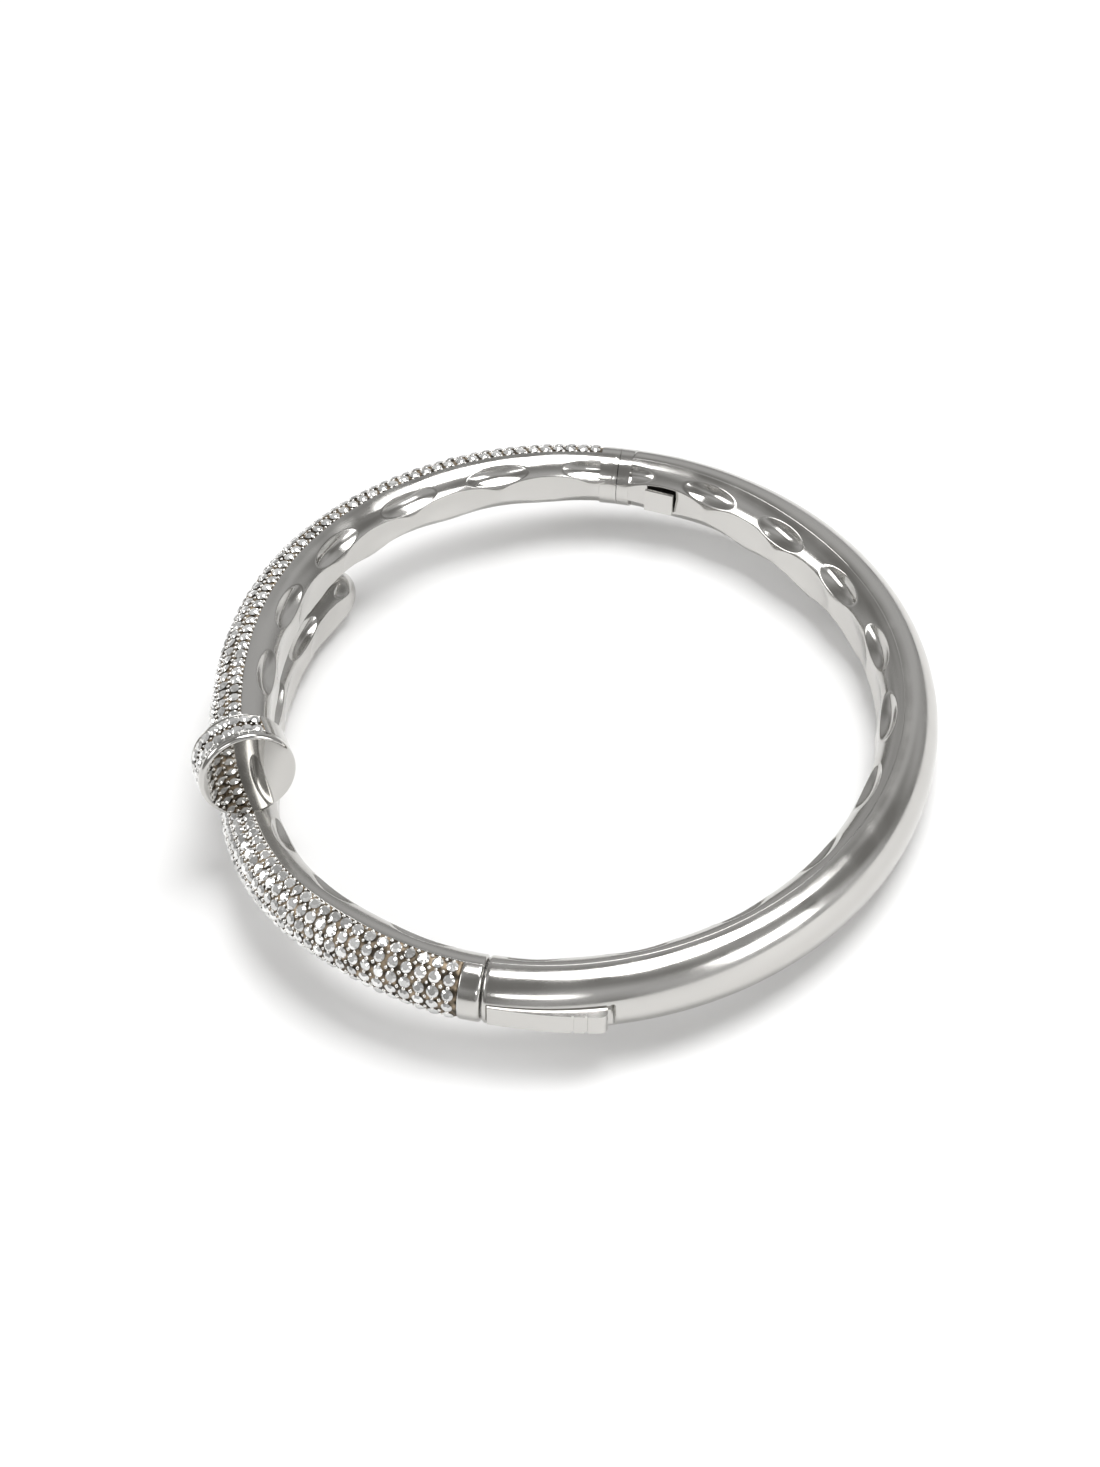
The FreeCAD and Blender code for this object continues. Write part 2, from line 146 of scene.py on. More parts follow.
# ---- stones --------------------------------------------------------------------
ROWS = 7
ROW_THETA = 26.0
STONE_PITCH = 1.12
ROW_CAP_GAP = 0.1          # millimetres between the ends of the rows and the cap
HEAD_ROW_STOP = 7.2        # degrees before the head where its arm's rows stop
TIP_ROW_START = 0.6        # degrees past the split where the tip arm's rows start
BED_EDGE = 91.0
BED_SINK = 0.12
BED_STEP = 2.5             # degrees over which the bed sinks from its edge
BED_CLEAR = 0.02
BEAD_EDGE = 2.6            # degrees that the outer lines of beads keep from the edge
STONE_SINK = 0.06
BEAD_SINK = 0.10
BEAD_SIZE = 0.19
HEAD_STONE_SIZE = 0.48
HEAD_BEAD_SIZE = 0.15
STONE_TILT = 0.06
BEAD_TILT = 0.1

# ---- lever ---------------------------------------------------------------------
LEVER_START = 0.50
LEVER_END = 8.60
LEVER_Z = 0.92
LEVER_DEEP = 0.95
LEVER_GAP = 0.08
LEVER_THUMB_ROOM = 0.55    # slot left past the lever's thumb end
LEVER_FLOOR_GAP = 0.05
TONGUE_MIDDLE = 0.25       # middle of the tongue's slot, outward of the centreline
TONGUE_ROOM_Y = 0.90
TONGUE_ROOM_Z = 1.15


def ease(x):
    """Smooth step from 0 to 1."""
    x = np.clip(x, 0.0, 1.0)
    return x * x * (3.0 - 2.0 * x)


def bump(x, middle, spread):
    """Bell curve: 1 at middle, down to 1/e at spread from it."""
    return np.exp(-(((x - middle) / spread) ** 2))


def plan_normal(phi):
    """Unit normal of the oval in the plan, pointing away from the wrist."""
    a = np.radians(phi)
    n = np.stack([np.cos(a) / SEMI_X, np.sin(a) / SEMI_Y, 0.0 * a], -1)
    return n / np.linalg.norm(n, axis=-1, keepdims=True)


def oval(phi):
    """Centreline in the plan: an oval, flattened at the front."""
    a = np.radians(phi)
    fade = ease((270.0 - phi) / SEAM_BLEND) * ease((phi - 90.0) / SEAM_BLEND)
    flat = -FRONT_FLAT * bump(phi, FLAT_PHI, FLAT_SPREAD) * fade
    base = np.stack([SEMI_X * np.cos(a), SEMI_Y * np.sin(a), 0.0 * a], -1)
    return base + plan_normal(phi) * flat[..., None]


class Arm:
    """A length of band: its lift, half thickness and half height against phi."""

    start = 90.0             # seam that arc lengths are measured from
    dimple_first = 2.3       # arc length of the first dimple in the upper row
    dimple_pitch = 9.45

    def lift(self, phi):
        return 0.0 * phi

    def shift(self, phi):
        return 0.0 * phi

    def half_t(self, phi):
        return BAND_T + 0.0 * phi

    def half_h(self, phi):
        return BAND_H + 0.0 * phi

    def centre(self, phi):
        c = oval(phi) - plan_normal(phi) * self.shift(phi)[..., None]
        c[..., 2] += self.lift(phi)
        return c

    def skin(self, phi, theta, out):
        """Point at phi and theta, moved out from the polished surface by out."""
        b = np.radians(theta)
        side = plan_normal(phi) * ((self.half_t(phi) + out) * np.cos(b))[..., None]
        point = self.centre(phi) + side
        point[..., 2] += (self.half_h(phi) + out) * np.sin(b)
        return point

    def normal(self, phi, theta):
        b = np.radians(theta)
        n = plan_normal(phi) * (np.cos(b) / self.half_t(phi))[..., None]
        n[..., 2] += np.sin(b) / self.half_h(phi)
        return n / np.linalg.norm(n, axis=-1, keepdims=True)

    def length_to(self, phi):
        """Arc length along the plan from the arm's seam, for an array of phi."""
        fine = np.linspace(self.start, self.start + self.sweep, 2000)
        step = np.linalg.norm(np.diff(oval(fine), axis=0), axis=1)
        length = np.concatenate([[0.0], np.cumsum(step)])
        if self.sweep < 0:
            return np.interp(-phi, -fine, length)
        return np.interp(phi, fine, length)

    def phi_at(self, wanted):
        fine = np.linspace(self.start, self.start + self.sweep, 4000)
        return np.interp(wanted, self.length_to(fine), fine)


class HeadArm(Arm):
    """From the hinge to the head, climbing as it goes."""

    sweep = 125.0

    def lift(self, phi):
        return HEAD_RISE * np.maximum(0.0, (phi - HEAD_RISE_FROM) / HEAD_RISE_OVER) ** 2

    def half_t(self, phi):
        return BAND_T + HEAD_MORE_T * ease((phi - self.start) / FULL_WIDTH_OVER)

    def half_h(self, phi):
        return BAND_H + HEAD_MORE_H * ease((phi - self.start) / FULL_WIDTH_OVER)


class TipArm(Arm):
    """From the clasp to the rounded tip, dipping below the head."""

    start = 270.0
    sweep = -127.0
    dimple_first = 6.0
    dimple_pitch = 9.3

    def lift(self, phi):
        return -TIP_DROP * ease((TIP_DROP_FROM - phi) / TIP_DROP_OVER)

    def rounding(self, phi):
        """Share of the full section: a quarter ellipse up from the tip's end."""
        left = np.clip((phi - TIP_END) / TIP_ROUND, 0.0, 1.0)
        return np.sqrt(np.maximum(1.0 - (1.0 - left) ** 2, 1e-6))

    def thinning(self, phi):
        return ease((TIP_THIN_FROM - phi) / TIP_THIN_OVER)

    def half_t(self, phi):
        return (BAND_T - TIP_LESS_T * self.thinning(phi)) * self.rounding(phi)

    def half_h(self, phi):
        return (BAND_H - TIP_LESS_H * self.thinning(phi)) * self.rounding(phi)


class BackArm(Arm):
    """The plain back half."""

    start = -90.0
    sweep = 180.0
    dimple_first = 3.3
    dimple_pitch = 8.9

    def shift(self, phi):
        return BACK_EXTRA_T * bump(phi, BACK_FULL_AT, BACK_FULL_SPREAD)

    def half_t(self, phi):
        return BAND_T + BACK_EXTRA_T * bump(phi, BACK_FULL_AT, BACK_FULL_SPREAD)

    def half_h(self, phi):
        return BAND_H + BACK_EXTRA_H * np.maximum(0.0, np.cos(np.radians(phi)))


HEAD_ARM = HeadArm()
TIP_ARM = TipArm()
BACK = BackArm()


# ---- meshes --------------------------------------------------------------------
def add_mesh(name, points, faces, smooth=True):
    """New object at the origin from points in millimetres and a face list."""
    mesh = bpy.data.meshes.new(name)
    mesh.from_pydata((np.asarray(points) * MM).tolist(), [], faces)
    mesh.validate()
    mesh.polygons.foreach_set("use_smooth", [smooth] * len(mesh.polygons))
    obj = bpy.data.objects.new(name, mesh)
    bpy.context.scene.collection.objects.link(obj)
    return obj


def tube_faces(rings, across):
    """Quads that join rings of the same length into a tube."""
    i = np.arange(rings - 1)[:, None]
    j = np.arange(across)[None, :]
    k = (j + 1) % across
    quads = [i * across + j, i * across + k, (i + 1) * across + k, (i + 1) * across + j]
    quads = np.stack(np.broadcast_arrays(*quads), -1).reshape(-1, 4)
    return quads.tolist()


def ring_faces(rings, across):
    """Quads of a tube whose last ring joins its first."""
    faces = tube_faces(rings, across)
    j = np.arange(across)
    k = (j + 1) % across
    last = (rings - 1) * across
    return faces + np.stack([last + j, last + k, k, j], -1).tolist()


def face_out(obj):
    """Turns every face outward by the sign of the closed mesh's volume."""
    mesh = obj.data
    mesh.calc_loop_triangles()
    tri = np.zeros(len(mesh.loop_triangles) * 3, int)
    mesh.loop_triangles.foreach_get("vertices", tri)
    co = np.zeros(len(mesh.vertices) * 3)
    mesh.vertices.foreach_get("co", co)
    a, b, c = co.reshape(-1, 3)[tri.reshape(-1, 3)].transpose(1, 0, 2)
    if np.sum(a * np.cross(b, c)) < 0:
        mesh.flip_normals()


def loft(name, rings, ladder=0):
    """Closed tube through rings (count, across, 3). Its ends are fans, or, when
    the ring runs out along one skin and back along the other, ladder quads."""
    count, across = rings.shape[:2]
    faces = tube_faces(count, across)
    points = rings.reshape(-1, 3)
    last = (count - 1) * across
    if ladder:
        j = np.arange(ladder - 1)
        rung = np.stack([j, across - 1 - j, across - 2 - j, j + 1], -1)
        faces += rung.tolist()
        faces += (rung[:, ::-1] + last).tolist()
    else:
        ends = np.stack([rings[0].mean(0), rings[-1].mean(0)])
        points = np.concatenate([points, ends])
        j = np.arange(across)
        k = (j + 1) % across
        hub = count * across
        faces += np.stack([k, j, 0 * j + hub], -1).tolist()
        faces += np.stack([last + j, last + k, 0 * j + hub + 1], -1).tolist()
    obj = add_mesh(name, points, faces)
    face_out(obj)
    return obj


def wall(name, arm, phis, thetas, relief, thick):
    """Curved wall: its outer skin follows relief(phi, theta), its inner skin is
    thick below the section's own surface."""
    p, t = np.meshgrid(phis, thetas, indexing="ij")
    outer = arm.skin(p, t, relief(p, t))
    inner = arm.skin(p, t, 0.0 * p - thick)
    rings = np.concatenate([outer, inner[:, ::-1]], axis=1)
    return loft(name, rings, ladder=len(thetas))


def finish_piece(obj, body, mat, nodes=()):
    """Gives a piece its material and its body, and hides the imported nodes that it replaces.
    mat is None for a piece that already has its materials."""
    if mat:
        obj.data.materials.append(mat)
    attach(obj, body)
    if nodes:
        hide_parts(*nodes)
    return obj


# ---- reliefs -------------------------------------------------------------------
def dimples(arm, depth):
    """Three staggered rows of lens-shaped scoops. Each scoop is a paraboloid
    over along and across distances, and the deepest one wins, so neighbours
    meet in a sharp ridge. The wall rounds off where it meets a seam."""

    def relief(p, t):
        along = arm.length_to(p)
        pitch = arm.dimple_pitch
        deepest = np.zeros_like(p)
        for middle, stagger, half, reach, share in DIMPLE_ROWS:
            off = (along - arm.dimple_first) / pitch - stagger
            near = (off - np.round(off)) / reach
            across = (t - middle) / half
            deepest = np.maximum(deepest, share * (1.0 - near ** 2 - across ** 2))
        edge = ease((t - DIMPLES_FROM) / DIMPLES_FADE)
        edge = edge * ease((DIMPLES_TO - t) / DIMPLES_FADE)
        edge = edge * ease((along - SEAM_PLAIN) / SEAM_FADE)
        return -depth * deepest * edge - seam_round(along)

    return relief


def seam_round(along):
    """How far a skin is rounded off near a seam, by a quarter circle."""
    near = np.clip(1.0 - (along - SEAM_GAP) / SEAM_RADIUS, 0.0, 1.0)
    return SEAM_RADIUS * (1.0 - np.sqrt(1.0 - near ** 2))


def bed_relief(p, t):
    """Sunk bed with a soft step up to the shoulder at both edges."""
    away = BED_EDGE - np.abs(t)
    return -BED_SINK * ease(away / BED_STEP) - BED_CLEAR


def lever_recess(arm):
    """Slot for the lever: a box sunk into the back's outer skin."""

    def relief(p, t):
        along = arm.length_to(p)
        z = arm.half_h(p) * np.sin(np.radians(t))
        inside = (along < LEVER_END + LEVER_THUMB_ROOM) & (np.abs(z) < LEVER_Z + LEVER_GAP)
        inside &= (np.abs(t) < 90.0) & (along > LEVER_START - LEVER_GAP)
        return np.where(inside, -LEVER_DEEP - LEVER_FLOOR_GAP, -seam_round(along))

    return relief


# ---- stones --------------------------------------------------------------------
def gem():
    """One faceted stone of radius 1: table, crown, girdle and pavilion."""
    a8 = np.radians(np.arange(8) * 45.0 + 22.5)
    a16 = np.radians(np.arange(16) * 22.5)
    table = np.stack([0.56 * np.cos(a8), 0.56 * np.sin(a8), 0 * a8 + 0.34], -1)
    girdle = np.stack([np.cos(a16), np.sin(a16), 0.0 * a16], -1)
    points = np.concatenate([table, girdle, [[0.0, 0.0, -0.80]]])
    i = np.arange(8)
    j = (i + 1) % 8
    g = 8 + 2 * i
    star = np.stack([i, 8 + (2 * i + 2) % 16, j], -1)
    left = np.stack([i, g, g + 1], -1)
    right = np.stack([i, g + 1, 8 + (2 * i + 2) % 16], -1)
    k = np.arange(16)
    low = np.stack([0 * k + 24, 8 + (k + 1) % 16, 8 + k], -1)
    faces = [list(range(8))] + np.concatenate([star, left, right, low]).tolist()
    return points, faces


def frames(normals, spin):
    """Rotation matrices whose third axis is each normal, spun about it."""
    helper = np.where(np.abs(normals[:, 2:3]) > 0.9, [[1.0, 0.0, 0.0]], [[0.0, 0.0, 1.0]])
    x = np.cross(helper, normals)
    x /= np.linalg.norm(x, axis=1, keepdims=True)
    y = np.cross(normals, x)
    c, s = np.cos(spin)[:, None], np.sin(spin)[:, None]
    return np.stack([x * c + y * s, y * c - x * s, normals], -1)


def scatter(name, points, faces, spots, normals, sizes, rng, tilt, smooth):
    """Copies of one small shape at spots, each sized, tilted and spun."""
    wobble = rng.normal(0.0, tilt, normals.shape)
    n = normals + wobble
    n /= np.linalg.norm(n, axis=1, keepdims=True)
    turn = frames(n, rng.uniform(0.0, 2.0 * math.pi, len(n)))
    local = points[None] * sizes[:, None, None]
    world = np.einsum("nij,nkj->nki", turn, local) + spots[:, None]
    shift = np.arange(len(spots)) * len(points)
    all_faces = [[v + s for v in f] for s in shift.tolist() for f in faces]
    obj = add_mesh(name, world.reshape(-1, 3), all_faces, smooth)
    tone = obj.data.attributes.new("tone", "FLOAT", "POINT")
    value = np.repeat(rng.uniform(0.0, 1.0, len(spots)), len(points))
    tone.data.foreach_set("value", value)
    return obj


def bead():
    """Small round bead: two rings and a top point, closed below."""
    a = np.radians(np.arange(6) * 60.0)
    low = np.stack([np.cos(a), np.sin(a), 0 * a - 0.6], -1)
    high = np.stack([0.8 * np.cos(a), 0.8 * np.sin(a), 0 * a + 0.55], -1)
    points = np.concatenate([low, high, [[0.0, 0.0, 1.0]]])
    i = np.arange(6)
    j = (i + 1) % 6
    faces = [[5, 4, 3, 2, 1, 0]]
    faces += np.stack([i, j, j + 6, i + 6], -1).tolist()
    faces += np.stack([i + 6, j + 6, 0 * i + 12], -1).tolist()
    return points, faces


def head_axes():
    """Centre of the head's face, its outward axis, sideways and up."""
    phi = np.array([HEAD_PHI])
    at = HEAD_ARM.centre(phi)[0]
    side = plan_normal(phi)[0]
    along = np.cross([0.0, 0.0, 1.0], side)
    lean = math.radians(HEAD_LEAN)
    axis = along * math.cos(lean) + np.array([0.0, 0.0, math.sin(lean)])
    return at, axis, side, np.cross(side, axis)


def clear_of_head(spots):
    at, axis, side, up = head_axes()
    away = spots - at
    along = away @ axis
    radial = np.linalg.norm(away - along[:, None] * axis, axis=1)
    return ~((radial < HEAD_R + 0.05) & (along > -HEAD_LONG - 0.3) & (along < 0.2))


def row_phis(arm, theta, phi_a, phi_b):
    """Evenly spaced phi values, one stone pitch apart along a row."""
    fine = np.linspace(phi_a, phi_b, 1200)
    path = arm.skin(fine, 0.0 * fine + theta, 0.0 * fine)
    step = np.linalg.norm(np.diff(path, axis=0), axis=1)
    length = np.concatenate([[0.0], np.cumsum(step)])
    count = int(length[-1] / STONE_PITCH)
    return np.interp(length[-1] * (np.arange(count) + 0.5) / count, length, fine)


def row_limits(arm):
    if arm is HEAD_ARM:
        return HEAD_ARM.phi_at(FRONT_CAP + ROW_CAP_GAP), HEAD_PHI - HEAD_ROW_STOP
    return ARM_SPLIT + TIP_ROW_START, TIP_ARM.phi_at(FRONT_CAP + ROW_CAP_GAP)


def grains(arm, phi_a, phi_b):
    """Bead spots: two between each pair of neighbouring rows' stones, and one
    line down each edge of the bed."""
    spots, normals = [], []
    for line in range(ROWS + 1):
        theta = (line - ROWS / 2.0) * ROW_THETA
        theta = min(max(theta, -BED_EDGE + BEAD_EDGE), BED_EDGE - BEAD_EDGE)
        phis = row_phis(arm, theta, phi_a, phi_b)
        half = np.interp(np.arange(2 * len(phis)) / 2.0, np.arange(len(phis)), phis)
        t = 0.0 * half + theta
        spots.append(arm.skin(half, t, 0.0 * half - BEAD_SINK))
        normals.append(arm.normal(half, t))
    return np.concatenate(spots), np.concatenate(normals)


# ---- materials -----------------------------------------------------------------
def new_material(name, color, rough, metallic=1.0):
    mat = bpy.data.materials.new(name)
    mat.use_nodes = True
    shader = mat.node_tree.nodes["Principled BSDF"]
    shader.inputs["Base Color"].default_value = (*color, 1.0)
    shader.inputs["Roughness"].default_value = rough
    shader.inputs["Metallic"].default_value = metallic
    return mat, shader


def vary(mat, shader, scale, low, high, bump_depth, bump_scale):
    """Cloudy roughness between low and high, and a faint uneven surface."""
    nodes, links = mat.node_tree.nodes, mat.node_tree.links
    coords = nodes.new("ShaderNodeTexCoord")
    noise = nodes.new("ShaderNodeTexNoise")
    noise.inputs["Scale"].default_value = scale
    noise.inputs["Detail"].default_value = 4.0
    spread = nodes.new("ShaderNodeMapRange")
    spread.inputs["From Min"].default_value = 0.35
    spread.inputs["From Max"].default_value = 0.65
    spread.inputs["To Min"].default_value = low
    spread.inputs["To Max"].default_value = high
    links.new(coords.outputs["Object"], noise.inputs["Vector"])
    links.new(noise.outputs["Fac"], spread.inputs["Value"])
    links.new(spread.outputs["Result"], shader.inputs["Roughness"])
    grain = nodes.new("ShaderNodeTexNoise")
    grain.inputs["Scale"].default_value = bump_scale
    raised = nodes.new("ShaderNodeBump")
    raised.inputs["Strength"].default_value = 1.0
    raised.inputs["Distance"].default_value = bump_depth
    links.new(coords.outputs["Object"], grain.inputs["Vector"])
    links.new(grain.outputs["Fac"], raised.inputs["Height"])
    links.new(raised.outputs["Normal"], shader.inputs["Normal"])
    return mat


def polished(name, color, rough):
    mat, shader = new_material(name, color, rough)
    return vary(mat, shader, 300.0, rough * 0.7, rough * 1.5, 4e-6, 260.0)


def patina(name, color):
    """Oxidised ground between the stones: dark brown with lighter rubs."""
    mat, shader = new_material(name, color, 0.5, 0.7)
    nodes, links = mat.node_tree.nodes, mat.node_tree.links
    coords = nodes.new("ShaderNodeTexCoord")
    noise = nodes.new("ShaderNodeTexNoise")
    noise.inputs["Scale"].default_value = 1400.0
    ramp = nodes.new("ShaderNodeValToRGB")
    ramp.color_ramp.elements[0].position = 0.42
    ramp.color_ramp.elements[0].color = (*[c * 0.35 for c in color], 1.0)
    ramp.color_ramp.elements[1].position = 0.66
    ramp.color_ramp.elements[1].color = (*[min(1.0, c * 2.4) for c in color], 1.0)
    links.new(coords.outputs["Object"], noise.inputs["Vector"])
    links.new(noise.outputs["Fac"], ramp.inputs["Fac"])
    links.new(ramp.outputs["Color"], shader.inputs["Base Color"])
    return vary(mat, shader, 900.0, 0.3, 0.6, 3e-5, 1500.0)


def stone_material(name, color):
    """Facets with a tone of their own for each stone."""
    mat, shader = new_material(name, color, 0.04, 0.75)
    nodes, links = mat.node_tree.nodes, mat.node_tree.links
    tone = nodes.new("ShaderNodeAttribute")
    tone.attribute_name = "tone"
    ramp = nodes.new("ShaderNodeValToRGB")
    ramp.color_ramp.elements[0].color = (*[c * 0.6 for c in color], 1.0)
    ramp.color_ramp.elements[1].color = (*color, 1.0)
    links.new(tone.outputs["Fac"], ramp.inputs["Fac"])
    links.new(ramp.outputs["Color"], shader.inputs["Base Color"])
    return mat


def settings():
    return bpy.context.scene.bangle_settings


def material(key):
    """The named material, made the first time it is asked for."""
    found = bpy.data.materials.get(key)
    if found:
        return found
    s = settings()
    metal = tuple(s.metal_color)
    makers = {
        "polished_metal": lambda: polished(key, metal, s.polish),
        # painted shade: the inner walls and the crossing tip use the polished metal 3%
        # darker, for the shade inside the bangle and under the head
        "inner_metal_painted_shade": lambda: polished(key, [c * 0.97 for c in metal], s.polish),
        "mirror_metal": lambda: polished(key, metal, s.polish * 0.25),
        # hinge and clasp works: the higher roughness is a real satin finish, the 15% darker
        # colour is painted shade in their recesses
        "satin_metal_painted_shade": lambda: polished(key, [c * 0.85 for c in metal], 0.28),
        # painted highlight: the beads use the polished metal 40% lighter, for the light they
        # catch
        "bead_metal_painted_highlight": lambda: polished(key, [c * 1.4 for c in metal], 0.16),
        "bed_patina": lambda: patina(key, tuple(s.patina_color)),
        "stone": lambda: stone_material(key, (0.97, 0.97, 0.96)),
    }
    return makers[key]()


# ---- settings and operators ----------------------------------------------------
class BangleSettings(bpy.types.PropertyGroup):
    metal_color: bpy.props.FloatVectorProperty(
        name="Metal colour",
        description="Colour of the polished metal",
        default=(0.58, 0.57, 0.55),
        subtype="COLOR",
        min=0.0,
        max=1.0,
    )
    patina_color: bpy.props.FloatVectorProperty(
        name="Patina colour",
        description="Colour of the oxidised ground between the stones",
        default=(0.17, 0.135, 0.095),
        subtype="COLOR",
        min=0.0,
        max=1.0,
    )
    polish: bpy.props.FloatProperty(
        name="Polish",
        description="Roughness of the polished metal, lower is shinier",
        default=0.15,
        min=0.0,
        max=1.0,
        subtype="FACTOR",
    )
    dimple_depth: bpy.props.FloatProperty(
        name="Dimple depth",
        description="Depth of the scoops on the inside, in millimetres",
        default=0.50,
        min=0.0,
        max=0.55,
    )
    stone_size: bpy.props.FloatProperty(
        name="Stone size",
        description="Radius of the stones, in millimetres",
        default=0.46,
        min=0.3,
        max=0.55,
    )


def inner_wall(name, arm, phi_a, phi_b, edge):
    """Dimpled wall from phi_a to phi_b, with closer rings towards both ends."""
    ends = np.array([0.0, 0.02, 0.06, 0.12, 0.2, 0.3, 0.45, 0.6])
    phis = np.concatenate([
        phi_a + ends, np.linspace(phi_a + 0.9, phi_b - 0.9, 420), phi_b - ends[::-1]
    ])
    thetas = np.linspace(edge, 360.0 - edge, 121)
    return wall(name, arm, phis, thetas, dimples(arm, settings().dimple_depth), WALL_THICK)


class BANGLE_OT_arms(bpy.types.Operator):
    """Builds the two front arms' beds and dimpled inner walls"""

    bl_idname = "bangle.arms"
    bl_label = "Front arms"

    def execute(self, context):
        start = HEAD_ARM.phi_at(FRONT_CAP)
        end = TIP_ARM.phi_at(FRONT_CAP)
        spans = (
            ("head_arm", HEAD_ARM, start, HEAD_END),
            ("tip_arm", TIP_ARM, ARM_SPLIT, end),
        )
        thetas = np.linspace(-BED_EDGE, BED_EDGE, 61)
        for prefix, arm, a, b in spans:
            node = prefix + "_bed"
            phis = np.linspace(a, b, 200)
            bed = wall("visual_" + node, arm, phis, thetas, bed_relief, BED_THICK)
            finish_piece(bed, "front_half", material("bed_patina"), [node])
            node = prefix + "_inner_wall"
            if arm is HEAD_ARM:
                a = 90.0 + SEAM
            else:
                b = 270.0 - SEAM
            inner = inner_wall("visual_" + node, arm, a, b, BED_EDGE)
            finish_piece(
                inner, "front_half", material("inner_metal_painted_shade"), [node]
            )
        return {"FINISHED"}


class BANGLE_OT_stones(bpy.types.Operator):
    """Sets the stones and the beads between them on both front arms"""

    bl_idname = "bangle.stones"
    bl_label = "Stones and beads"

    def execute(self, context):
        rng = np.random.default_rng(7)
        size = settings().stone_size
        points, faces = gem()
        bead_points, bead_faces = bead()
        for prefix, arm in (("head_arm", HEAD_ARM), ("tip_arm", TIP_ARM)):
            phi_a, phi_b = row_limits(arm)
            for i in range(ROWS):
                theta = (i - (ROWS - 1) / 2.0) * ROW_THETA
                phis = row_phis(arm, theta, phi_a, phi_b)
                t = 0.0 * phis + theta
                spots = arm.skin(phis, t, 0.0 * phis - STONE_SINK)
                normals = arm.normal(phis, t)
                if arm is TIP_ARM:
                    keep = clear_of_head(spots)
                    spots, normals = spots[keep], normals[keep]
                sizes = size * rng.uniform(0.94, 1.04, len(spots))
                node = "%s_row_%d" % (prefix, i + 1)
                row = scatter(
                    "visual_" + node, points, faces,
                    spots, normals, sizes, rng, STONE_TILT, False,
                )
                finish_piece(row, "front_half", material("stone"), [node])
            spots, normals = grains(arm, phi_a, phi_b)
            if arm is TIP_ARM:
                keep = clear_of_head(spots)
                spots, normals = spots[keep], normals[keep]
            sizes = BEAD_SIZE * rng.uniform(0.8, 1.15, len(spots))
            # the beads' lighter metal is a painted highlight
            beads = scatter(
                "visual_%s_beads" % prefix, bead_points, bead_faces,
                spots, normals, sizes, rng, BEAD_TILT, True,
            )
            finish_piece(beads, "front_half", material("bead_metal_painted_highlight"))
        return {"FINISHED"}


class BANGLE_OT_crossing(bpy.types.Operator):
    """Builds the rounded tip below the head and the polished clasp-side cap"""

    bl_idname = "bangle.crossing"
    bl_label = "Tip and cap"

    def execute(self, context):
        left = np.sin(np.linspace(0.0, 0.5 * math.pi, 30)) ** 2
        rounded = TIP_END + TIP_ROUND * np.maximum(left, 2e-3)
        phis = np.concatenate([rounded, np.linspace(TIP_END + TIP_ROUND, ARM_SPLIT, 260)[1:]])
        thetas = np.linspace(0.0, 360.0, 241)[:-1]
        p, t = np.meshgrid(phis, thetas, indexing="ij")
        depth = settings().dimple_depth
        dip = dimples(TIP_ARM, depth)(p, t) * ease((p - TIP_END - 2.0) / 6.0)
        tip = loft("visual_crossing_tip", TIP_ARM.skin(p, t, dip))
        # the tip's slightly darker metal is painted shade under the head
        finish_piece(
            tip, "front_half", material("inner_metal_painted_shade"),
            ["crossing_tip"],
        )
        end = 270.0 - SEAM
        start = TIP_ARM.phi_at(FRONT_CAP) + CAP_BED_GAP
        f = np.linspace(0.0, 0.5 * math.pi, 9)
        rise = np.concatenate([[start], start + CAP_LIP_SPREAD * (1 - np.cos(f[1:]))])
        fall = end - CAP_SEAM_SPREAD * (1 - np.sin(f))
        phis = np.concatenate([rise, np.linspace(rise[-1], fall[0], 8)[1:-1], fall])
        inset = np.concatenate([
            -CAP_LIP_INSET * (1 - np.sin(f)),
            np.zeros(6),
            -CAP_SEAM_INSET * (1 - np.cos(f)),
        ])
        thetas = np.linspace(0.0, 360.0, 129)[:-1]
        p, t = np.meshgrid(phis, thetas, indexing="ij")
        beside_wrist = np.abs(t - 180.0) < 89.0
        skin = TIP_ARM.skin(p, t, inset[:, None] - CAP_WALL_STEP * beside_wrist)
        cap = loft("visual_front_clasp_end_cap", skin)
        finish_piece(
            cap, "front_half", material("polished_metal"),
            ["front_clasp_end_cap"],
        )
        return {"FINISHED"}


